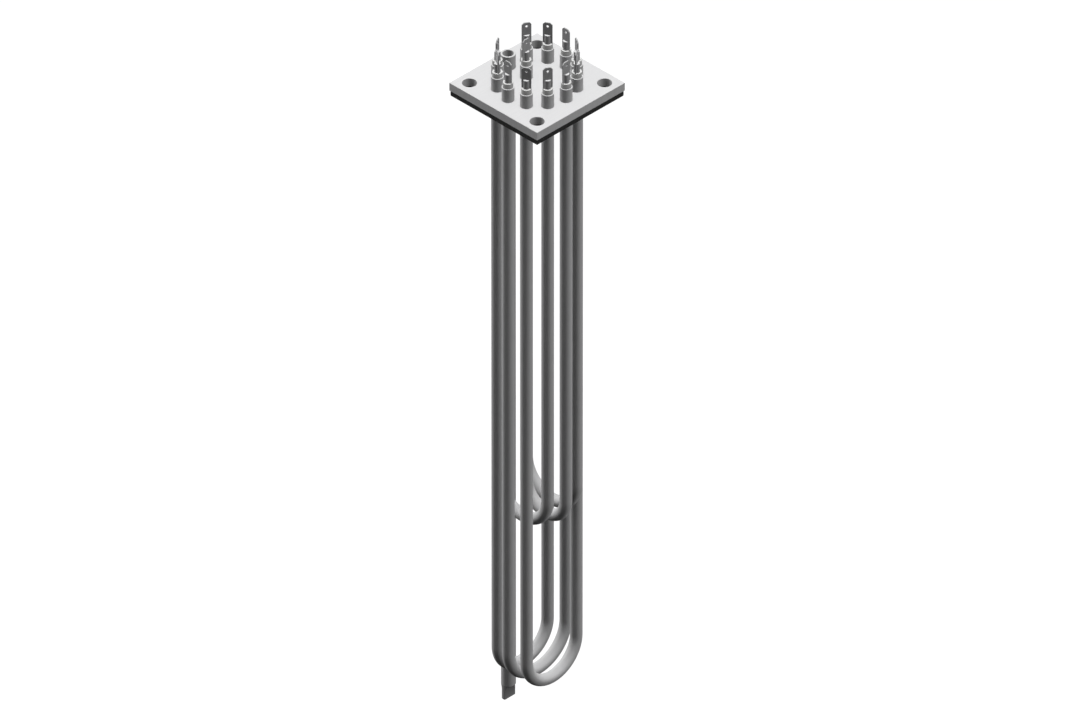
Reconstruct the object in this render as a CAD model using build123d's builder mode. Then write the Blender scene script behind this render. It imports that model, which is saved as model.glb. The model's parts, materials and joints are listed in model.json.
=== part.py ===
from build123d import *

import os
from math import cos, radians, sin, sqrt

# Flanged immersion heater: six hairpin tube heaters and a sensor pocket in one square flange.
# Sizes are in millimetres. The origin is the centre of the gasket's lower face, which seats on
# the tank wall. +Z points up through the flange to the terminals, and the tubes hang below.

# Tube heaters
sheath_diameter = 8.1
sheath_wall = 0.7
sheath_projection = 9.8  # end of the sheath above the flange
long_immersion = 447.0  # lowest point of a long hairpin below the seat
short_rise = 126.0  # the short hairpins end this far above the long ones
cold_length = 45.0  # unheated stretch below the seat

# Places of the tube ends on the flange
ring_step = 30.0  # degrees between neighbours on the ring
leg_gap = 1.34  # between a short hairpin and the long legs that it passes
inner_end_offset = 9.6  # the one end that stands inside the ring, from its centre

# Sensor pocket
pocket_diameter = 9.65
pocket_wall = 1.2
pocket_projection = 10.0
pocket_overhang = 31.0  # tip of the pocket below the long hairpins
pocket_floor = 2.0  # metal between the bore's end and the pinched end
pinch_length = 10.9
pinch_taper = 3.2  # the part of the pinched length that turns from round to flat
pinch_thickness = 2.86

# Flange, gasket and brazed joints
flange_thickness = 6.0
flange_margin = 9.0  # from a bolt hole's centre to the flange's edge
bolt_hole_diameter = 9.6
gasket_thickness = 4.0
gasket_inset = 0.5  # the gasket's edge inside the flange's edge
gasket_web = 5.21  # rubber between the opening and each bolt hole
opening_margin = 0.6  # between the gasket's opening and the outermost brazed joint
braze_leg = 1.2

# Terminals
bead_length = 13.6
bead_rise = 3.6  # the bead's top above the end of the sheath
pin_diameter = 4.0
pin_rise = 6.3  # the pin's top above the bead, which is also the depth of its slot
tab_length = 15.4
tab_width = 6.3
tab_thickness = 0.8
tab_corner = 1.4
tab_hole_diameter = 1.65
tab_hole_drop = 2.8  # the hole's centre below the tab's tip

# Inside the sheath
winding_diameter = 3.2
winding_sides = 8  # the winding is drawn as its envelope, an eight-sided bar
spigot_diameter = 2.0
spigot_length = 6.0

# Clearances, each on one side
round_clearance = 0.05  # between a round piece and what surrounds it
slot_clearance = 0.02  # between a tab and the pin's slot

# Heights that the pieces share
flange_top = gasket_thickness + flange_thickness
sheath_top = flange_top + sheath_projection
bead_top = sheath_top + bead_rise
bead_bottom = bead_top - bead_length
short_immersion = long_immersion - short_rise
pocket_top = flange_top + pocket_projection
pocket_tip = -long_immersion - pocket_overhang
round_end = pocket_tip + pinch_length
flat_end = round_end - pinch_taper

# Radii that the pieces share
sheath_radius = sheath_diameter / 2
bore_radius = sheath_radius - sheath_wall
pin_radius = pin_diameter / 2
pocket_radius = pocket_diameter / 2
pinch_depth = pocket_radius - pinch_thickness / 2  # how far each side of the end is pressed in

# The ring is as tight as the crossing hairpins allow, and the gasket's opening, the bolt
# holes and the flange's edge follow it outwards.
ring_radius = (sheath_diameter + leg_gap) / (cos(radians(ring_step)) - sin(radians(ring_step)))
outermost_joint = ring_radius + max(sheath_radius, pocket_radius) + braze_leg
opening_radius = outermost_joint + opening_margin
bolt_circle_radius = opening_radius + gasket_web + bolt_hole_diameter / 2
bolt_spacing = bolt_circle_radius * sqrt(2)
flange_width = bolt_spacing + 2 * flange_margin
gasket_width = flange_width - 2 * gasket_inset


def ring_place(angle):
    """A place on the ring of tubes, with its angle in degrees from +X."""
    return Vector(ring_radius * cos(radians(angle)), ring_radius * sin(radians(angle)), 0)


inner_place = Vector(0, inner_end_offset, 0)
pocket_place = ring_place(90)

# Each heater: how deep it reaches, and the names and places of its two ends.
left_right = ("left", "right")
back_front = ("back", "front")
heaters = {
    "long_back": (long_immersion, left_right, (ring_place(180 - ring_step), ring_place(ring_step))),
    "long_middle": (long_immersion, left_right, (ring_place(180), ring_place(0))),
    "long_front": (long_immersion, left_right, (ring_place(180 + ring_step), ring_place(-ring_step))),
    "short_left": (short_immersion, back_front, (ring_place(90 + ring_step), ring_place(270 - ring_step))),
    "short_middle": (short_immersion, back_front, (inner_place, ring_place(270))),
    "short_right": (short_immersion, back_front, (ring_place(90 - ring_step), ring_place(270 + ring_step))),
}
tube_places = [place for immersion, sides, ends in heaters.values() for place in ends]


def hairpin_line(ends, top, immersion):
    """The centreline of one heater: down from the first end, round the bend, up to the second."""
    first, second = ends
    span = second - first
    radius = span.length / 2
    bend_height = sheath_radius + radius - immersion
    upright = Plane(origin=(first + second) / 2, x_dir=span, z_dir=span.cross(Vector(0, 0, 1)))
    with BuildLine(upright) as line:
        Line((-radius, top), (-radius, bend_height))
        CenterArc((0, bend_height), radius, 180, 180)
        Line((radius, bend_height), (radius, top))
    return line.line


def looking_down(place, height):
    """A level plane facing down at the given height, where a hairpin's section is drawn."""
    return Plane(origin=(place.X, place.Y, height), x_dir=(1, 0, 0), z_dir=(0, 0, -1))


def level(place, height):
    """A level plane facing up at the given height, centred on one tube end."""
    return Plane(origin=(place.X, place.Y, height))


def save(piece, name):
    """Labels a finished piece and writes it to its own file."""
    piece.part.label = name
    export_step(piece.part, f"parts/{name}.step")


def make_sheath(name, ends, immersion):
    """The steel tube, bent to a hairpin and open at both ends."""
    with BuildPart() as sheath:
        with BuildSketch(looking_down(ends[0], sheath_top)):
            Circle(sheath_radius)
            Circle(bore_radius, mode=Mode.SUBTRACT)
        sweep(path=hairpin_line(ends, sheath_top, immersion))
    save(sheath, f"{name}_sheath")


def make_winding(name, ends, immersion):
    """The envelope of the resistance winding, from one pin's shoulder to the other's."""
    with BuildPart() as winding:
        with BuildSketch(looking_down(ends[0], -cold_length)):
            RegularPolygon(winding_diameter / 2, winding_sides, major_radius=False)
        sweep(path=hairpin_line(ends, -cold_length, immersion))
        for place in ends:
            with BuildSketch(looking_down(place, -cold_length)):
                Circle(spigot_diameter / 2 + round_clearance)
            extrude(amount=spigot_length + round_clearance, mode=Mode.SUBTRACT)
    save(winding, f"{name}_winding")


def make_fill(name, ends, immersion):
    """The pressed magnesia between the sheath and the winding, from bead to bead."""
    with BuildPart() as fill:
        with BuildSketch(looking_down(ends[0], bead_bottom)):
            Circle(bore_radius - round_clearance)
            RegularPolygon(
                winding_diameter / 2 + round_clearance, winding_sides, major_radius=False, mode=Mode.SUBTRACT
            )
        sweep(path=hairpin_line(ends, bead_bottom, immersion))
        for place in ends:
            with BuildSketch(looking_down(place, bead_bottom)):
                Circle(pin_radius + round_clearance)
            extrude(amount=bead_bottom + cold_length, mode=Mode.SUBTRACT)
    save(fill, f"{name}_fill")


def make_bead(name, place):
    """The ceramic bead that closes one end of the sheath round the pin."""
    with BuildPart() as bead:
        with BuildSketch(level(place, bead_bottom)):
            Circle(bore_radius - round_clearance)
            Circle(pin_radius + round_clearance, mode=Mode.SUBTRACT)
        extrude(amount=bead_length)
    save(bead, name)


def make_pin(name, place, outward):
    """The terminal pin, with a spigot in the winding below and a slot for the tab above."""
    with BuildPart() as pin:
        with BuildSketch(level(place, -cold_length)):
            Circle(pin_radius)
        extrude(amount=cold_length + bead_top + pin_rise)
        with BuildSketch(looking_down(place, -cold_length)):
            Circle(spigot_diameter / 2)
        extrude(amount=spigot_length)
        slot = Plane(origin=(place.X, place.Y, bead_top), x_dir=outward, z_dir=(0, 0, 1))
        with BuildSketch(slot):
            Rectangle(tab_thickness + 2 * slot_clearance, pin_diameter)
        extrude(amount=pin_rise, mode=Mode.SUBTRACT)
    save(pin, name)


def make_tab(name, place, outward):
    """The flat blade that stands in the pin's slot with its shoulders on the bead."""
    across = Vector(0, 0, 1).cross(outward)
    upright = Plane(origin=(place.X, place.Y, bead_top), x_dir=across, z_dir=outward)
    with BuildPart() as tab:
        with BuildSketch(upright) as blade:
            Rectangle(tab_width, tab_length, align=(Align.CENTER, Align.MIN))
            chamfer(blade.vertices().group_by(Axis.Y)[-1], tab_corner)
            with Locations((0, tab_length - tab_hole_drop)):
                Circle(tab_hole_diameter / 2, mode=Mode.SUBTRACT)
        extrude(amount=tab_thickness / 2, both=True)
    save(tab, name)


os.makedirs("parts", exist_ok=True)

# Flange, with a hole for every tube and the four bolt holes
with BuildPart() as flange:
    with BuildSketch(Plane.XY.offset(gasket_thickness)):
        Rectangle(flange_width, flange_width)
        with GridLocations(bolt_spacing, bolt_spacing, 2, 2):
            Circle(bolt_hole_diameter / 2, mode=Mode.SUBTRACT)
        with Locations(tube_places):
            Circle(sheath_radius + round_clearance, mode=Mode.SUBTRACT)
        with Locations(pocket_place):
            Circle(pocket_radius + round_clearance, mode=Mode.SUBTRACT)
    extrude(amount=flange_thickness)
save(flange, "flange")

# Gasket, open in the middle for the whole bundle of tubes
with BuildPart() as gasket:
    with BuildSketch():
        Rectangle(gasket_width, gasket_width)
        Circle(opening_radius, mode=Mode.SUBTRACT)
        with GridLocations(bolt_spacing, bolt_spacing, 2, 2):
            Circle(bolt_hole_diameter / 2, mode=Mode.SUBTRACT)
    extrude(amount=gasket_thickness)
save(gasket, "gasket")

# Brazed joints, one ring of braze round each tube under the flange
with BuildPart() as brazed_joints:
    joints = [(place, sheath_radius) for place in tube_places] + [(pocket_place, pocket_radius)]
    for place, tube_radius in joints:
        inside = tube_radius + round_clearance
        upright = Plane(origin=(place.X, place.Y, gasket_thickness), x_dir=(1, 0, 0), z_dir=(0, -1, 0))
        with BuildSketch(upright):
            Polygon((inside, 0), (inside + braze_leg, 0), (inside, -braze_leg), align=None)
        revolve(axis=Axis((place.X, place.Y, 0), (0, 0, 1)))
save(brazed_joints, "brazed_joints")

# Sensor pocket: an open tube whose lower end is pinched flat, from round by two hollow sweeps
with BuildPart() as sensor_pocket:
    with BuildSketch(level(pocket_place, pocket_tip)):
        Circle(pocket_radius)
    extrude(amount=pocket_top - pocket_tip)
    with BuildSketch(level(pocket_place, pocket_top)):
        Circle(pocket_radius - pocket_wall)
    extrude(amount=round_end + pocket_floor - pocket_top, mode=Mode.SUBTRACT)
    pressed = Plane(origin=(pocket_place.X, pocket_place.Y, flat_end), x_dir=(0, 1, 0), z_dir=(1, 0, 0))
    with BuildSketch(pressed):
        with Locations((-pocket_radius, 0), (pocket_radius, 0)):
            Ellipse(pinch_depth, pinch_taper)
            Rectangle(2 * pinch_depth, flat_end - pocket_tip, align=(Align.CENTER, Align.MAX))
    extrude(amount=pocket_radius, both=True, mode=Mode.SUBTRACT)
save(sensor_pocket, "sensor_pocket")

# The six heaters, each with what is inside it and with its two terminals
for heater, (immersion, sides, ends) in heaters.items():
    make_sheath(heater, ends, immersion)
    make_winding(heater, ends, immersion)
    make_fill(heater, ends, immersion)
    for side, place in zip(sides, ends):
        outward = place.normalized()
        make_bead(f"{heater}_bead_{side}", place)
        make_pin(f"{heater}_pin_{side}", place, outward)
        make_tab(f"{heater}_tab_{side}", place, outward)
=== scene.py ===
import json
from math import acos, asin, cos, pi, radians, sin

import bmesh
import bpy
from mathutils import Matrix, Vector


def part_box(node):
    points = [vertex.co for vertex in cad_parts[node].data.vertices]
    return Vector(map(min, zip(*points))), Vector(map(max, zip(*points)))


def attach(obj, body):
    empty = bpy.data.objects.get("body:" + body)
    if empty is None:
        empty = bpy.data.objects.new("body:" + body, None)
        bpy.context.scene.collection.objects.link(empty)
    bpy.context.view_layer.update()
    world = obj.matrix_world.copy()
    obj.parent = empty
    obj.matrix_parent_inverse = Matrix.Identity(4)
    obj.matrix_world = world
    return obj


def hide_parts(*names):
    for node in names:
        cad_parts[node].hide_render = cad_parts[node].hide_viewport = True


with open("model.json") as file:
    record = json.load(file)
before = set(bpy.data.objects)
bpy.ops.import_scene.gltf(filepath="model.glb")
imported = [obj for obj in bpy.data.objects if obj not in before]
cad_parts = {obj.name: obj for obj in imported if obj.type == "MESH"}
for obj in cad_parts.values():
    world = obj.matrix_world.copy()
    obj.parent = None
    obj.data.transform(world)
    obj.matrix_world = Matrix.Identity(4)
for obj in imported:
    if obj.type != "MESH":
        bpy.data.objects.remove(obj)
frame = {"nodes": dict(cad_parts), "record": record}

# A flanged immersion heater: finer meshes and finishes for the pieces of the frame.
# Lengths are in metres. Places and sizes come from the frame's boxes, and the values below
# are for what those boxes don't show.
MM = 0.001
UP = Vector((0, 0, 1))
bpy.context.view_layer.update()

# How finely round forms are divided
TUBE_SIDES = 64
BEND_STEPS = 72
ROUND_SIDES = 64
HOLE_SIDES = 72
OPENING_SIDES = 144
TAB_HOLE_SIDES = 32
PRONG_STEPS = 24
SLOT_STEPS = 5
BRAZE_STEPS = 6
PRESSED_SIDES = 28
PRESSED_STEPS = 14
BLADE_EDGE_SIDES = 8
SHARP_ANGLE = radians(32)  # an edge that turns further than this stays sharp

# Sizes inside the boxes
SHEATH_WALL = 0.7 * MM
POCKET_WALL = 1.2 * MM
POCKET_FLOOR = 2.0 * MM
PINCH_LENGTH = 10.9 * MM
PINCH_TAPER = 3.2 * MM
PINCH_THICKNESS = 2.86 * MM
SWEEP_END = 0.4 * MM  # the stretch of blade that the sweep's last ring takes in
BOLT_SPACING = 60.0 * MM
BOLT_HOLE_RADIUS = 4.8 * MM
ROUND_CLEARANCE = 0.05 * MM
SLOT_CLEARANCE = 0.02 * MM
OPENING_MARGIN = 0.6 * MM
BRAZE_LEG = 1.2 * MM
BRAZE_SAG = 0.16 * BRAZE_LEG
SPIGOT_RADIUS = 1.0 * MM
SPIGOT_LENGTH = 6.0 * MM
TAB_CORNER = 1.4 * MM
TAB_HOLE_RADIUS = 0.825 * MM
TAB_HOLE_DROP = 2.8 * MM
WINDING_PITCH = 1.1 * MM

# Broken edges
FLANGE_EDGE = 0.15 * MM
TUBE_EDGE = 0.1 * MM
BEAD_EDGE = 0.16 * MM
BEAD_ROUNDING = 0.3 * BEAD_EDGE
PIN_EDGE = 0.1 * MM
TAB_EDGE = 0.05 * MM

# The gasket's squeezed edge: shares of its height, and how far the edge stands back there
GASKET_BULGE = (
    (0.0, 0.22 * MM), (0.06, 0.1 * MM), (0.2, 0.03 * MM), (0.5, 0.0),
    (0.8, 0.03 * MM), (0.94, 0.1 * MM), (1.0, 0.22 * MM),
)

HEATERS = {
    "long_back": ("left", "right"),
    "long_middle": ("left", "right"),
    "long_front": ("left", "right"),
    "short_left": ("back", "front"),
    "short_middle": ("back", "front"),
    "short_right": ("back", "front"),
}
SLOTS = {part["node"]: part["material_slot"] for part in frame["record"]["subparts"]}
DRAWN = "drawn_place"  # a vertex's place on its tube before the tube was bent


def middle(node):
    """The middle of a node's box, in plan."""
    low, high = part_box(node)
    return Vector(((low.x + high.x) / 2, (low.y + high.y) / 2, 0))


# Meshes

def ring(bm, points):
    """New vertices at the given points, in order."""
    return [bm.verts.new(point) for point in points]


def bridge(bm, rings, closed=False):
    """Joins each ring to the next by quads, and with closed the last to the first."""
    followers = rings[1:] + rings[:1] if closed else rings[1:]
    for lower, upper in zip(rings, followers):
        for i in range(len(lower)):
            j = (i + 1) % len(lower)
            bm.faces.new((lower[i], lower[j], upper[j], upper[i]))


def circle(centre, radius, sides, height=0.0):
    """Points of a level circle round a centre."""
    turns = [2 * pi * i / sides for i in range(sides)]
    return [Vector((centre.x + radius * cos(t), centre.y + radius * sin(t), height)) for t in turns]


def lathe(bm, place, profile):
    """Turns a closed profile of (radius, height) round the upright axis at a place."""
    rings = [ring(bm, circle(place, radius, ROUND_SIDES, height)) for radius, height in profile]
    bridge(bm, rings, closed=True)


def plate(bm, outlines, levels):
    """A plate with holes. Each outline gives its points for an inset from the edge of the metal,
    and each level is a height with its inset."""
    bottom, top = [], []
    for outline in outlines:
        rings = [ring(bm, [p.xy.to_3d() + UP * height for p in outline(inset)]) for height, inset in levels]
        bridge(bm, rings)
        for found, edge_ring in ((bottom, rings[0]), (top, rings[-1])):
            found += [bm.edges.get((v, w)) for v, w in zip(edge_ring, edge_ring[1:] + edge_ring[:1])]
    for edges, normal in ((bottom, -UP), (top, UP)):
        bmesh.ops.triangle_fill(bm, edges=edges, normal=normal, use_beauty=True)


def hole(centre, radius, sides=HOLE_SIDES):
    """The outline of a round hole, which grows with the inset."""
    return lambda inset: circle(centre, radius + inset, sides)


def square(width):
    """The outline of a square plate, which shrinks with the inset."""
    def points(inset):
        half = width / 2 - inset
        return [Vector((half * sx, half * sy, 0)) for sx, sy in ((-1, -1), (1, -1), (1, 1), (-1, 1))]
    return points


def broken_edges(low, high, edge):
    """The levels of a plate between two heights whose edges are broken at 45 degrees."""
    return [(low, edge), (low + edge, 0), (high - edge, 0), (high, edge)]


def new_object(bm, name):
    """Closes a mesh as an object of the scene."""
    mesh = bpy.data.meshes.new(name)
    bm.to_mesh(mesh)
    bm.free()
    made = bpy.data.objects.new(name, mesh)
    bpy.context.scene.collection.objects.link(made)
    return made


def make_piece(bm, node, suffix):
    """Closes a mesh as the piece that stands for a node of the frame."""
    bmesh.ops.recalc_face_normals(bm, faces=bm.faces)
    piece = new_object(bm, f"{node}_{suffix}")
    for polygon in piece.data.polygons:
        polygon.use_smooth = True
    piece.data.set_sharp_from_angle(angle=SHARP_ANGLE)
    piece.data.materials.append(finish_of(SLOTS[node]))
    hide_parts(node)
    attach(piece, "root")
    return piece


# The pieces

def tube_holes():
    """The place and radius of each tube that passes the flange."""
    found = []
    for heater, sides in HEATERS.items():
        low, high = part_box(f"{heater}_sheath")
        radius = min(high.x - low.x, high.y - low.y) / 2
        found += [(middle(f"{heater}_bead_{side}"), radius) for side in sides]
    low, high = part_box("sensor_pocket")
    return found + [(middle("sensor_pocket"), (high.x - low.x) / 2)]


def bolt_holes():
    """The outlines of the four bolt holes."""
    corners = [(sx, sy) for sx in (-1, 1) for sy in (-1, 1)]
    return [hole(Vector((sx, sy, 0)) * BOLT_SPACING / 2, BOLT_HOLE_RADIUS) for sx, sy in corners]


def make_flange():
    """The square plate, with its tube holes and bolt holes."""
    low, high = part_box("flange")
    tubes = [hole(place, radius + ROUND_CLEARANCE) for place, radius in tube_holes()]
    bm = bmesh.new()
    plate(bm, [square(high.x - low.x), *bolt_holes(), *tubes], broken_edges(low.z, high.z, FLANGE_EDGE))
    make_piece(bm, "flange", "plate")


def make_gasket():
    """The rubber sheet, squeezed so that its edges bulge a little between the plate and the wall."""
    low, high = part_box("gasket")
    reach = max(place.length + radius for place, radius in tube_holes())
    opening = hole(Vector((0, 0, 0)), reach + BRAZE_LEG + OPENING_MARGIN, OPENING_SIDES)
    levels = [(low.z + (high.z - low.z) * share, inset) for share, inset in GASKET_BULGE]
    bm = bmesh.new()
    plate(bm, [square(high.x - low.x), opening, *bolt_holes()], levels)
    make_piece(bm, "gasket", "sheet")


def make_brazed_joints():
    """A ring of braze round each tube under the flange, hollow like a drawn-up meniscus."""
    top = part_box("flange")[0].z
    bm = bmesh.new()
    for place, radius in tube_holes():
        inside = radius + ROUND_CLEARANCE
        profile = [(inside, top)]
        for i in range(BRAZE_STEPS + 1):
            along = i / BRAZE_STEPS
            sag = BRAZE_SAG * sin(pi * along)
            profile.append((inside + BRAZE_LEG * (1 - along) - sag, top - BRAZE_LEG * along + sag))
        lathe(bm, place, profile)
    make_piece(bm, "brazed_joints", "rings")


def hairpin_stations(node):
    """Points down one leg, round the bend and up the other, each with the direction to the inside
    of the hairpin and its length along the tube. Also the direction across, and the tube's radius."""
    low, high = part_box(node)
    size = high - low
    along = Vector((1, 0, 0)) if size.x > size.y else Vector((0, 1, 0))
    tube_radius = min(size.x, size.y) / 2
    bend_radius = max(size.x, size.y) / 2 - tube_radius
    centre = middle(node) + UP * (low.z + tube_radius + bend_radius)
    leg = high.z - centre.z
    stations = [
        (centre - along * bend_radius + UP * leg, along, 0.0),
        (centre - along * bend_radius + UP * (leg - TUBE_EDGE), along, TUBE_EDGE),
    ]
    for i in range(BEND_STEPS + 1):
        turn = pi * i / BEND_STEPS
        inward = along * cos(turn) + UP * sin(turn)
        stations.append((centre - inward * bend_radius, inward, leg + bend_radius * turn))
    length = 2 * leg + pi * bend_radius
    stations.append((centre + along * bend_radius + UP * (leg - TUBE_EDGE), -along, length - TUBE_EDGE))
    stations.append((centre + along * bend_radius + UP * leg, -along, length))
    return stations, along.cross(UP), tube_radius


def make_sheath(node):
    """The bent tube. Its vertices also hold their place on the tube before it was bent, so that
    the marks of drawing follow the bend."""
    stations, across, outer = hairpin_stations(node)
    bore = outer - SHEATH_WALL
    count = len(stations)
    ends = (0, count - 1)
    wall = [(stations[i], outer - TUBE_EDGE if i in ends else outer) for i in range(count)]
    wall += [(stations[i], bore + TUBE_EDGE if i in ends else bore) for i in reversed(range(count))]
    turns = [2 * pi * i / TUBE_SIDES for i in range(TUBE_SIDES)]
    bm = bmesh.new()
    rings, straight = [], []
    for (point, inward, length), radius in wall:
        rings.append(ring(bm, [point + (inward * cos(t) + across * sin(t)) * radius for t in turns]))
        straight += [(radius * cos(t), radius * sin(t), length) for t in turns]
    bridge(bm, rings, closed=True)
    piece = make_piece(bm, node, "tube")
    drawn = piece.data.attributes.new(DRAWN, "FLOAT_VECTOR", "POINT")
    drawn.data.foreach_set("vector", [value for place in straight for value in place])


def make_bead(node):
    """The bush that closes a sheath round its pin."""
    low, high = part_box(node)
    outer = (high.x - low.x) / 2
    pin_low, pin_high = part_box(node.replace("bead", "pin"))
    bore = (pin_high.x - pin_low.x) / 2 + ROUND_CLEARANCE
    profile = [
        (outer - BEAD_EDGE, low.z),
        (outer, low.z + BEAD_EDGE),
        (outer, high.z - BEAD_EDGE),
        (outer - BEAD_ROUNDING, high.z - BEAD_ROUNDING),
        (outer - BEAD_EDGE, high.z),
        (bore + BEAD_EDGE, high.z),
        (bore, high.z - BEAD_EDGE),
        (bore, low.z),
    ]
    bm = bmesh.new()
    lathe(bm, middle(node), profile)
    make_piece(bm, node, "bush")


def tab_half_size():
    """Half the width and half the thickness of the terminal blades, read from one that lies
    square to the axes."""
    low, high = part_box("short_middle_tab_front")
    return (high.x - low.x) / 2, (high.y - low.y) / 2


def make_pin(node):
    """The round pin, with a spigot below and above a slot that leaves two half-round prongs."""
    low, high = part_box(node)
    place = middle(node)
    radius = (high.x - low.x) / 2
    outward = place.normalized()
    across = UP.cross(outward)
    gap = tab_half_size()[1] + SLOT_CLEARANCE
    slot_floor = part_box(node.replace("pin", "tab"))[0].z
    shoulder = low.z + SPIGOT_LENGTH

    def at(turn, reach, height):
        return place + (outward * cos(turn) + across * sin(turn)) * reach + UP * height

    def arc(facing, half):
        """Turns over the round side of one prong."""
        return [facing - half + 2 * half * i / PRONG_STEPS for i in range(PRONG_STEPS + 1)]

    def prong(facing, reach, inset, height):
        return [at(turn, reach, height) for turn in arc(facing, acos((gap + inset) / reach))]

    def whole(reach, height):
        """A full circle, divided so that both prongs can stand on it."""
        half = acos(gap / radius)
        strip = [half + (pi - 2 * half) * i / SLOT_STEPS for i in range(1, SLOT_STEPS)]
        return [at(turn + side, reach, height) for side in (0, pi) for turn in arc(0.0, half) + strip]

    levels = [
        (SPIGOT_RADIUS - PIN_EDGE, low.z),
        (SPIGOT_RADIUS, low.z + PIN_EDGE),
        (SPIGOT_RADIUS, shoulder),
        (radius - PIN_EDGE, shoulder),
        (radius, shoulder + PIN_EDGE),
        (radius, slot_floor),
    ]
    bm = bmesh.new()
    rings = [ring(bm, whole(reach, height)) for reach, height in levels]
    bridge(bm, rings)
    bm.faces.new(rings[0])
    base = rings[-1]
    half_count = len(base) // 2
    for side, facing in ((0, 0.0), (1, pi)):
        foot = base[side * half_count:side * half_count + PRONG_STEPS + 1]
        body = ring(bm, prong(facing, radius, 0.0, high.z - PIN_EDGE))
        tip = ring(bm, prong(facing, radius - PIN_EDGE, PIN_EDGE, high.z))
        bridge(bm, [foot, body, tip])
        bm.faces.new(tip)
    strips = [base[side * half_count + PRONG_STEPS:(side + 1) * half_count] for side in (0, 1)]
    bm.faces.new(strips[0] + [base[half_count]] + strips[1] + [base[0]])
    make_piece(bm, node, "post")


def make_tab(node):
    """The blade terminal, with cut corners and a small hole near its tip."""
    low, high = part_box(node)
    length = high.z - low.z
    half_width, half_thickness = tab_half_size()

    def blade(inset):
        half, top, cut = half_width - inset, length - inset, TAB_CORNER - inset * (2 - 2 ** 0.5)
        corners = ((-half, inset), (half, inset), (half, top - cut), (half - cut, top), (cut - half, top),
                   (-half, top - cut))
        return [Vector((x, y, 0)) for x, y in corners]

    small_hole = hole(Vector((0, length - TAB_HOLE_DROP, 0)), TAB_HOLE_RADIUS, TAB_HOLE_SIDES)
    bm = bmesh.new()
    plate(bm, [blade, small_hole], broken_edges(-half_thickness, half_thickness, TAB_EDGE))
    outward = middle(node).normalized()
    across = UP.cross(outward)
    turned = Matrix((across, UP, outward)).transposed().to_4x4()
    bmesh.ops.transform(bm, matrix=Matrix.Translation(middle(node) + UP * low.z) @ turned, verts=bm.verts)
    make_piece(bm, node, "blade")


def make_sensor_pocket():
    """The open tube, whose lower end is pressed flat from both sides."""
    node = "sensor_pocket"
    low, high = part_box(node)
    place = middle(node)
    outer = (high.x - low.x) / 2
    bore = outer - POCKET_WALL
    half = PINCH_THICKNESS / 2
    depth = outer - half
    round_end = low.z + PINCH_LENGTH
    flat_end = round_end - PINCH_TAPER
    corner = asin(half / outer)
    pressed = [corner + (pi - 2 * corner) * i / PRESSED_SIDES for i in range(PRESSED_SIDES)]
    blade_edge = [pi - corner + 2 * corner * i / BLADE_EDGE_SIDES for i in range(BLADE_EDGE_SIDES)]
    turns = [turn + side for side in (0, pi) for turn in pressed + blade_edge]

    def round_ring(radius, height):
        return ring(bm, [place + Vector((cos(t), sin(t), 0)) * radius + UP * height for t in turns])

    def sweep_ring(share):
        """From the crease, where the sweep leaves the round tube, down to just below its end."""
        points = []
        for turn in turns:
            x, y = outer * cos(turn), outer * sin(turn)
            start = acos(min(1.0, (outer - max(abs(y), half)) / depth))
            height = PINCH_TAPER * sin(start * (1 - share)) - SWEEP_END * share
            reach = half if height <= 0 else outer - depth * (1 - (height / PINCH_TAPER) ** 2) ** 0.5
            points.append(place + Vector((x, max(-reach, min(reach, y)), flat_end + height)))
        return ring(bm, points)

    def blade_ring(height, inset):
        """The blade's outline, where the tube's round sides are left at its edges."""
        outline = [Vector((outer * cos(t), max(-half, min(half, outer * sin(t))), height)) for t in turns]
        shrink = Vector((1 - inset / outer, 1 - inset / half, 1))
        return ring(bm, [place + point * shrink for point in outline])

    bm = bmesh.new()
    rings = [round_ring(radius, height) for radius, height in (
        (bore, round_end + POCKET_FLOOR),
        (bore, high.z - TUBE_EDGE),
        (bore + TUBE_EDGE, high.z),
        (outer - TUBE_EDGE, high.z),
        (outer, high.z - TUBE_EDGE),
    )]
    rings += [sweep_ring(i / PRESSED_STEPS) for i in range(PRESSED_STEPS + 1)]
    rings += [blade_ring(low.z + TUBE_EDGE, 0.0), blade_ring(low.z, TUBE_EDGE)]
    bridge(bm, rings)
    bm.faces.new(rings[0])
    bm.faces.new(rings[-1])
    make_piece(bm, node, "tube")


# Finishes

def add(tree, kind, inputs=None, **properties):
    """A new node. An input is either set to a value or linked to another node's socket."""
    made = tree.nodes.new("ShaderNode" + kind)
    for key, value in properties.items():
        setattr(made, key, value)
    for key, value in (inputs or {}).items():
        if isinstance(value, bpy.types.NodeSocket):
            tree.links.new(value, made.inputs[key])
        else:
            made.inputs[key].default_value = value
    return made


def stretched(tree, place, scale):
    """Coordinates multiplied along each axis, which stretches a pattern."""
    return add(tree, "Mapping", {"Vector": place, "Scale": scale}).outputs["Vector"]


def noise(tree, place, waves, detail=3.0, roughness=0.55):
    """Soft noise from 0 to 1, with its waves per metre along each axis."""
    pattern = {"Vector": stretched(tree, place, waves), "Scale": 1.0}
    return add(tree, "TexNoise", {**pattern, "Detail": detail, "Roughness": roughness}).outputs["Fac"]


def spread(tree, value, low, high, start=0.3, end=0.7):
    """A value moved from the range of start and end to that of low and high, with its ends held."""
    inputs = {"Value": value, "From Min": start, "From Max": end, "To Min": low, "To Max": high}
    return add(tree, "MapRange", inputs, clamp=True).outputs["Result"]


def mixed(tree, share, first, second):
    """A colour between two, each a socket or a colour of three values."""
    made = add(tree, "Mix", {"Factor": share}, data_type="RGBA", clamp_factor=True)
    for number, colour in ((6, first), (7, second)):
        if isinstance(colour, bpy.types.NodeSocket):
            tree.links.new(colour, made.inputs[number])
        else:
            made.inputs[number].default_value = (*colour, 1.0)
    return made.outputs[2]


def calculated(tree, operation, first, second=0.0, third=0.0):
    """A number worked out from up to three others."""
    return add(tree, "Math", {0: first, 1: second, 2: third}, operation=operation).outputs["Value"]


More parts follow.
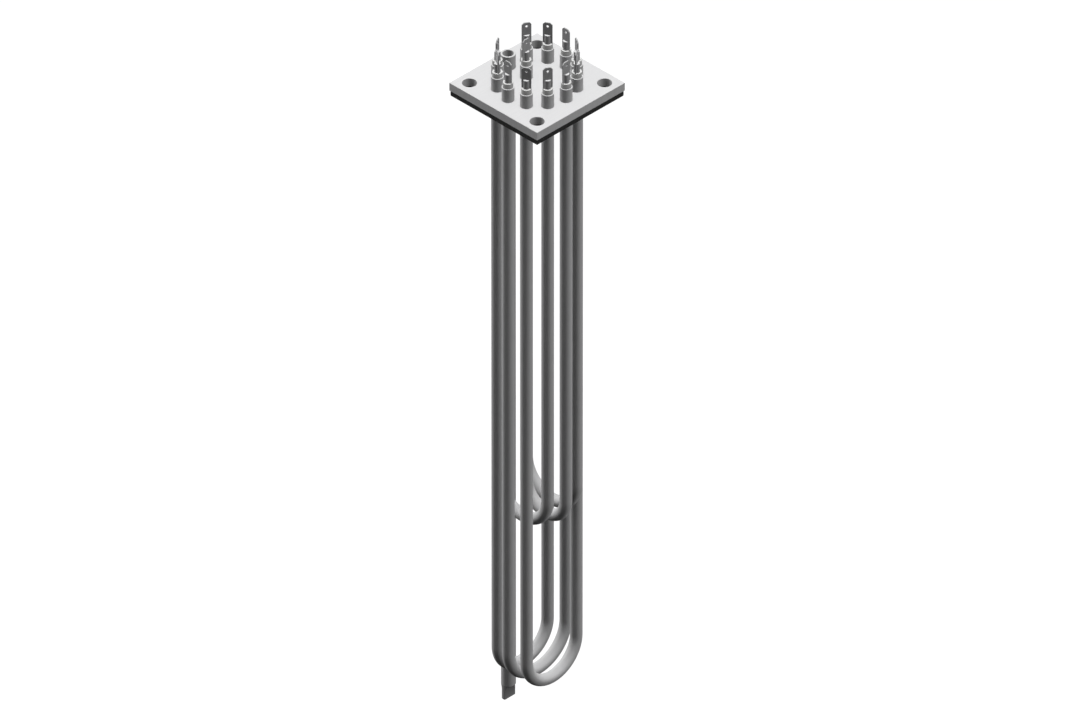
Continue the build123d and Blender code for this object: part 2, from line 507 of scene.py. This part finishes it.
def bumped(tree, height, distance, strength=1.0, normal=None):
    """A normal raised by a height from 0 to 1 over a distance in metres."""
    inputs = {"Height": height, "Distance": distance, "Strength": strength}
    if normal is not None:
        inputs["Normal"] = normal
    return add(tree, "Bump", inputs).outputs["Normal"]


def axis_share(tree, vector, axis):
    """One of a vector's three values."""
    return add(tree, "SeparateXYZ", {"Vector": vector}).outputs[axis]


def facing(tree, axis):
    """How squarely a face lies to an axis, either way: 1 if quite, 0 if not at all."""
    normal = add(tree, "TexCoord").outputs["Normal"]
    return calculated(tree, "ABSOLUTE", axis_share(tree, normal, axis))


def upright_share(tree):
    """1 on upright faces and 0 on level ones."""
    return spread(tree, facing(tree, "Z"), 1.0, 0.0, start=0.4, end=0.8)


def grey(level, blue=0.005):
    """A grey with a little more or less blue in it."""
    return (level, level, level + blue)


def shaded(colour, factor):
    """A colour made lighter or darker."""
    return tuple(factor * value for value in colour)


def new_material(name):
    """An empty material with its shader, and the socket of coordinates in the frame."""
    material = bpy.data.materials.new(name)
    material.use_nodes = True
    tree = material.node_tree
    tree.nodes.clear()
    shader = add(tree, "BsdfPrincipled")
    add(tree, "OutputMaterial", {"Surface": shader.outputs["BSDF"]})
    place = add(tree, "TexCoord").outputs["Object"]
    return material, tree, shader, place


def connect(tree, shader, colour, roughness, normal, metallic, specular):
    """Gives a shader its patterns, and its even values as plain numbers."""
    tree.links.new(colour, shader.inputs["Base Color"])
    tree.links.new(roughness, shader.inputs["Roughness"])
    tree.links.new(normal, shader.inputs["Normal"])
    shader.inputs["Metallic"].default_value = metallic
    shader.inputs["Specular IOR Level"].default_value = specular


def drawn_tube(name, light, dark, place_of=None, painted_shade_of=None):
    """Cold-drawn and annealed steel: fine lines along the tube, and a faintly mottled skin."""
    material, tree, shader, place = new_material(name)
    if place_of:
        place = place_of(tree)
    lines = noise(tree, place, (2600, 2600, 24), detail=4.0, roughness=0.6)
    streaks = noise(tree, place, (420, 420, 9))
    mottle = noise(tree, place, (160, 160, 90), detail=5.0, roughness=0.6)
    pits = noise(tree, place, (3800, 3800, 3000), detail=2.0)
    colour = mixed(tree, spread(tree, streaks, 0.0, 1.0), dark, light)
    colour = mixed(tree, spread(tree, mottle, 0.0, 0.4), colour, shaded(dark, 0.9))
    colour = mixed(tree, spread(tree, lines, 0.0, 0.15), colour, shaded(light, 1.2))
    # The optional mask given here paints shade: it darkens the colour towards a near black grey.
    if painted_shade_of:
        colour = mixed(tree, painted_shade_of(tree, place), colour, grey(0.10, 0.0))
    rough = calculated(tree, "ADD", spread(tree, mottle, -0.07, 0.07), spread(tree, lines, 0.5, 0.6))
    normal = bumped(tree, lines, 0.012 * MM, strength=0.6)
    normal = bumped(tree, pits, 0.01 * MM, strength=0.4, normal=normal)
    connect(tree, shader, colour, rough, normal, metallic=0.0, specular=0.01)
    return material


def unbent(tree):
    """The coordinates that a sheath's vertices hold."""
    return add(tree, "Attribute", attribute_name=DRAWN).outputs["Vector"]


def sheath_steel():
    """Drawn steel whose lines follow the bend."""
    return drawn_tube("sheath_steel", grey(0.74), grey(0.69), place_of=unbent)


def painted_crease_shade(tree, place):
    """How strongly painted shade darkens the flat end: most on its two broad sides just under the crease,
    less towards the tip.
    """
    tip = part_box("sensor_pocket")[0].z
    crease = tip + PINCH_LENGTH
    height = axis_share(tree, place, "Z")
    broad = spread(tree, facing(tree, "Y"), 0.35, 1.0, start=0.4, end=0.9)
    below = spread(tree, height, 1.0, 0.0, start=crease - 0.1 * MM, end=crease)
    share = spread(tree, height, 0.5, 0.9, start=tip, end=crease)
    return calculated(tree, "MULTIPLY", calculated(tree, "MULTIPLY", share, below), broad)


def pocket_steel():
    """Drawn steel with painted shade on its flat end, under the crease."""
    return drawn_tube("pocket_steel", grey(0.72), grey(0.67), painted_shade_of=painted_crease_shade)


def flange_steel():
    """Ground plate: crossing scratches on its faces, and cut edges with upright feed marks. The cut edges
    and bolt-hole walls are a little darker than the faces, partly as their cut finish and partly as painted
    shade on upright sides.
    """
    material, tree, shader, place = new_material("flange_steel")
    ground = noise(tree, place, (60, 2400, 60), detail=4.0, roughness=0.65)
    crossed = noise(tree, place, (1500, 110, 60), roughness=0.6)
    cloud = noise(tree, place, (38, 38, 38), detail=4.0)
    feed = noise(tree, place, (1900, 1900, 40), roughness=0.6)
    face = mixed(tree, spread(tree, ground, 0.0, 1.0), grey(0.70), grey(0.745))
    face = mixed(tree, spread(tree, cloud, 0.0, 0.3), face, grey(0.67, 0.01))
    # Partly painted shade: the upright cut faces get slightly darker greys than the level faces.
    cut = mixed(tree, spread(tree, feed, 0.0, 1.0), grey(0.66), grey(0.74))
    upright = upright_share(tree)
    colour = mixed(tree, upright, face, cut)
    scratches = calculated(tree, "MULTIPLY_ADD", crossed, 0.5, ground)
    grain = mixed(tree, upright, scratches, feed)
    rough = calculated(tree, "MULTIPLY_ADD", upright, 0.06, spread(tree, ground, 0.34, 0.48))
    normal = bumped(tree, grain, 0.012 * MM, strength=0.5)
    connect(tree, shader, colour, rough, normal, metallic=0.0, specular=0.05)
    return material


def gasket_rubber():
    """Black sheet rubber: a dull, slightly dusty skin with a fine fabric of pores."""
    material, tree, shader, place = new_material("gasket_rubber")
    dust = noise(tree, place, (220, 220, 220), detail=5.0, roughness=0.7)
    pores = noise(tree, place, (2600, 2600, 2600))
    drag = noise(tree, place, (160, 160, 1800))
    colour = mixed(tree, spread(tree, dust, 0.0, 1.0), grey(0.024, 0.0), grey(0.034, -0.001))
    rough = spread(tree, pores, 0.72, 0.9)
    normal = bumped(tree, pores, 0.03 * MM, strength=0.5)
    normal = bumped(tree, drag, 0.03 * MM, strength=0.4, normal=normal)
    connect(tree, shader, colour, rough, normal, metallic=0.0, specular=0.1)
    return material


def braze_metal():
    """Silver braze: a pale yellowish skin that froze in soft ripples."""
    material, tree, shader, place = new_material("braze_metal")
    ripple = noise(tree, place, (900, 900, 900), detail=2.0)
    stain = noise(tree, place, (240, 240, 240), detail=4.0)
    colour = mixed(tree, spread(tree, stain, 0.0, 1.0), (0.50, 0.45, 0.33), (0.66, 0.60, 0.46))
    rough = spread(tree, ripple, 0.3, 0.5)
    normal = bumped(tree, ripple, 0.05 * MM, strength=0.6)
    connect(tree, shader, colour, rough, normal, metallic=0.6, specular=0.5)
    return material


def bead_ceramic():
    """Unglazed ceramic with fine specks and a dry skin. Its level ends are painted lighter and its upright
    side darker, as painted light and painted shade.
    """
    material, tree, shader, place = new_material("bead_ceramic")
    grain = noise(tree, place, (2200, 2200, 2200), detail=4.0, roughness=0.7)
    specks = noise(tree, place, (4200, 4200, 4200), detail=1.0)
    tone = spread(tree, noise(tree, place, (260, 260, 260)), 0.0, 1.0)
    # Painted light and shade: the level ground ends get the light greys, the upright side the dark ones.
    ground = mixed(tree, tone, grey(0.74, -0.005), grey(0.80, -0.005))
    fired_side_painted_shade = mixed(tree, tone, grey(0.50, -0.005), grey(0.56, -0.005))
    colour = mixed(tree, upright_share(tree), ground, fired_side_painted_shade)
    speckled = spread(tree, specks, 0.0, 0.3, start=0.62, end=0.72)
    colour = mixed(tree, speckled, colour, (0.36, 0.35, 0.33))
    rough = spread(tree, grain, 0.6, 0.78)
    normal = bumped(tree, grain, 0.02 * MM, strength=0.5)
    connect(tree, shader, colour, rough, normal, metallic=0.0, specular=0.08)
    return material


def pin_steel():
    """Turned steel: rings round the pin, and a slightly cloudy skin. Its level cut ends are painted
    brighter and its turned sides darker, as painted light and painted shade.
    """
    material, tree, shader, place = new_material("pin_steel")
    rings = noise(tree, place, (120, 120, 5200), roughness=0.6)
    cloud = noise(tree, place, (420, 420, 420))
    ringed = spread(tree, rings, 0.0, 1.0)
    # Painted light and shade: the level ends get the light greys, the upright turned side the darker ones.
    faced_end_painted_light = mixed(tree, ringed, grey(0.74), grey(0.82))
    turned = mixed(tree, ringed, grey(0.48), grey(0.58))
    turned = mixed(tree, spread(tree, cloud, 0.0, 0.4), turned, grey(0.44, 0.01))
    colour = mixed(tree, upright_share(tree), faced_end_painted_light, turned)
    rough = spread(tree, rings, 0.3, 0.46)
    normal = bumped(tree, rings, 0.01 * MM, strength=0.6)
    connect(tree, shader, colour, rough, normal, metallic=0.0, specular=0.05)
    return material


def tab_steel():
    """Rolled strip: grain along the blade and fine random scratches."""
    material, tree, shader, place = new_material("tab_steel")
    grain = noise(tree, place, (2800, 2800, 70), detail=4.0, roughness=0.6)
    scratches = noise(tree, place, (700, 700, 5200), detail=2.0, roughness=0.5)
    cloud = noise(tree, place, (380, 380, 380))
    colour = mixed(tree, spread(tree, grain, 0.0, 1.0), grey(0.48), grey(0.56))
    colour = mixed(tree, spread(tree, cloud, 0.0, 0.35), colour, grey(0.44, 0.01))
    scratched = spread(tree, scratches, 0.0, 0.25, start=0.6, end=0.75)
    colour = mixed(tree, scratched, colour, grey(0.66))
    rough = spread(tree, grain, 0.3, 0.45)
    normal = bumped(tree, grain, 0.01 * MM, strength=0.5)
    connect(tree, shader, colour, rough, normal, metallic=0.0, specular=0.05)
    return material


def magnesia():
    """Pressed oxide powder: chalky white with a soft grain."""
    material, tree, shader, place = new_material("magnesia")
    grain = noise(tree, place, (1500, 1500, 1500), detail=4.0, roughness=0.7)
    colour = mixed(tree, spread(tree, grain, 0.0, 1.0), (0.78, 0.77, 0.73), (0.86, 0.85, 0.82))
    rough = spread(tree, grain, 0.85, 0.97)
    normal = bumped(tree, grain, 0.05 * MM, strength=0.5)
    connect(tree, shader, colour, rough, normal, metallic=0.0, specular=0.3)
    return material


def winding_wire():
    """Resistance wire: the turns of a close winding drawn as bands, dark with oxide."""
    material, tree, shader, place = new_material("winding_wire")
    waves = calculated(tree, "MULTIPLY", axis_share(tree, place, "Z"), 2 * pi / WINDING_PITCH)
    turns = calculated(tree, "SINE", waves)
    oxide = noise(tree, place, (700, 700, 700))
    banded = spread(tree, turns, 0.0, 1.0, start=-1.0, end=1.0)
    colour = mixed(tree, banded, (0.12, 0.11, 0.10), (0.40, 0.38, 0.35))
    rough = spread(tree, oxide, 0.35, 0.6)
    normal = bumped(tree, turns, 0.2 * MM, strength=0.8)
    connect(tree, shader, colour, rough, normal, metallic=0.8, specular=0.5)
    return material


MAKERS = {maker.__name__: maker for maker in (
    flange_steel, gasket_rubber, braze_metal, pocket_steel, sheath_steel, magnesia, winding_wire,
    bead_ceramic, pin_steel, tab_steel,
)}
finishes = {}


def finish_of(slot):
    """The one material of a slot, made when it is first asked for."""
    if slot not in finishes:
        finishes[slot] = MAKERS[slot]()
    return finishes[slot]


def finish_frame_nodes():
    """Gives the nodes that stay as they are in the frame their materials."""
    for name, node in frame["nodes"].items():
        node.data.materials.clear()
        node.data.materials.append(finish_of(SLOTS[name]))


# Camera

CAMERA_AZIMUTH = radians(-45)
CAMERA_ELEVATION = asin(0.576)
CAMERA_AIM = Vector((1.59, -1.01, -203.01)) * MM
CAMERA_DISTANCE = 20.858  # far off, because the photo is a parallel view
CAMERA_LENS = 1100.0
CAMERA_SENSOR = 36.0
CAMERA_NEAR = 1.0
CAMERA_FAR = 60.0


def towards(azimuth, elevation):
    """The direction from the part to a viewer or a lamp."""
    level = cos(elevation)
    return Vector((sin(azimuth) * level, -cos(azimuth) * level, sin(elevation)))


def place_facing(data, place, direction):
    """Puts a camera or a lamp at a place, with its view along a direction."""
    made = bpy.data.objects.new(data.name, data)
    made.location = place
    made.rotation_mode = "QUATERNION"
    made.rotation_quaternion = direction.to_track_quat("-Z", "Y")
    bpy.context.scene.collection.objects.link(made)
    return made


def make_camera():
    """A very long lens at the photo's angle."""
    data = bpy.data.cameras.new("camera")
    data.lens = CAMERA_LENS
    data.sensor_width = CAMERA_SENSOR
    data.clip_start = CAMERA_NEAR
    data.clip_end = CAMERA_FAR
    back = towards(CAMERA_AZIMUTH, CAMERA_ELEVATION)
    bpy.context.scene.camera = place_facing(data, CAMERA_AIM + back * CAMERA_DISTANCE, -back)


# Lamps, floor and surroundings

TOP_LAMP_HEIGHT = 4.0
TOP_LAMP_SIZE = 1.7
TOP_LAMP_WATTS = 36.0
TOP_FILL_WATTS = 128.0
SIDE_LAMP_AIM = Vector((0, 0, -0.1))
SIDE_LAMP_DISTANCE = 2.0
SIDE_LAMP_WIDTH = 0.3
SIDE_LAMP_LENGTH = 0.85
SIDE_LAMPS = {  # how far each stands to the right of the viewer's direction, and its watts
    "left_lamp": (radians(-120), 18.5),
    "right_lamp": (radians(86), 10.0),
}
FLOOR_HEIGHT = -0.56
FLOOR_SIZE = 16.0
FLOOR_FADE = (0.5, 1.2)  # distances from the middle over which glow takes the place of paper
FLOOR_GLOW = (0.62, 1.0)
FLOOR_PAPER = (0.45, 0.05)
FLOOR_GIVES_BACK = 0.025
SURROUNDING_LIGHT = 0.11


def make_lamp(name, place, aim, width, length, watts, shadow=True):
    """A soft rectangular lamp that faces its aim. Its light isn't passed on from one surface to
    another, which gives the photo's plain shading."""
    data = bpy.data.lights.new(name, "AREA")
    data.shape = "RECTANGLE"
    data.size = width
    data.size_y = length
    data.energy = watts
    data.use_shadow = shadow
    data.cycles.max_bounces = 0
    lamp = place_facing(data, place, aim - place)
    lamp.visible_camera = False


def make_lamps():
    """A broad lamp above, with an even one in the same place that casts no shadow, and two tall
    shadowless ones: one behind the part on the left, and one beside it on the right."""
    above, middle_of_top = UP * TOP_LAMP_HEIGHT, Vector((0, 0, 0))
    size = (TOP_LAMP_SIZE, TOP_LAMP_SIZE)
    make_lamp("top_lamp", above, middle_of_top, *size, TOP_LAMP_WATTS)
    make_lamp("top_fill", above, middle_of_top, *size, TOP_FILL_WATTS, shadow=False)
    for name, (turn, watts) in SIDE_LAMPS.items():
        place = SIDE_LAMP_AIM + towards(CAMERA_AZIMUTH + turn, 0) * SIDE_LAMP_DISTANCE
        make_lamp(name, place, SIDE_LAMP_AIM, SIDE_LAMP_WIDTH, SIDE_LAMP_LENGTH, watts, shadow=False)


def seen_directly(tree):
    """1 for what the camera sees, itself or by way of gloss and glass, and 0 for soft light."""
    path = add(tree, "LightPath").outputs
    share = calculated(tree, "MAXIMUM", path["Is Camera Ray"], path["Is Glossy Ray"])
    return calculated(tree, "MAXIMUM", share, path["Is Transmission Ray"])


def make_floor():
    """A pale floor that looks white, keeps the part's shadow and gives back little light."""
    bm = bmesh.new()
    bm.faces.new(ring(bm, [corner + UP * FLOOR_HEIGHT for corner in square(FLOOR_SIZE)(0)]))
    floor = new_object(bm, "floor")
    material = bpy.data.materials.new("floor")
    material.use_nodes = True
    tree = material.node_tree
    tree.nodes.clear()
    level_place = stretched(tree, add(tree, "TexCoord").outputs["Object"], (1, 1, 0))
    reach = add(tree, "VectorMath", {0: level_place}, operation="LENGTH").outputs["Value"]
    glow = add(tree, "Emission", {"Strength": spread(tree, reach, *FLOOR_GLOW, *FLOOR_FADE)})
    paper = add(tree, "BsdfDiffuse", {"Color": spread(tree, reach, *FLOOR_PAPER, *FLOOR_FADE)})
    white = add(tree, "AddShader", {0: glow.outputs[0], 1: paper.outputs[0]})
    dim = add(tree, "BsdfDiffuse", {"Color": (*grey(FLOOR_GIVES_BACK, 0.0), 1.0)})
    shown = add(tree, "MixShader", {0: seen_directly(tree), 1: dim.outputs[0], 2: white.outputs[0]})
    add(tree, "OutputMaterial", {"Surface": shown.outputs[0]})
    floor.data.materials.append(material)


def make_world():
    """White where it is seen, and a dim even light otherwise."""
    world = bpy.data.worlds.new("surroundings")
    world.use_nodes = True
    tree = world.node_tree
    tree.nodes.clear()
    white = add(tree, "Background", {"Color": (1, 1, 1, 1), "Strength": 1.0})
    dim = add(tree, "Background", {"Color": (1, 1, 1, 1), "Strength": SURROUNDING_LIGHT})
    shown = add(tree, "MixShader", {0: seen_directly(tree), 1: dim.outputs[0], 2: white.outputs[0]})
    add(tree, "OutputWorld", {"Surface": shown.outputs[0]})
    bpy.context.scene.world = world


make_camera()
make_lamps()
make_world()
make_floor()
bpy.context.scene.view_settings.view_transform = "Standard"

finish_frame_nodes()
make_flange()
make_gasket()
make_brazed_joints()
make_sensor_pocket()
for heater, sides in HEATERS.items():
    make_sheath(f"{heater}_sheath")
    for side in sides:
        make_bead(f"{heater}_bead_{side}")
        make_pin(f"{heater}_pin_{side}")
        make_tab(f"{heater}_tab_{side}")
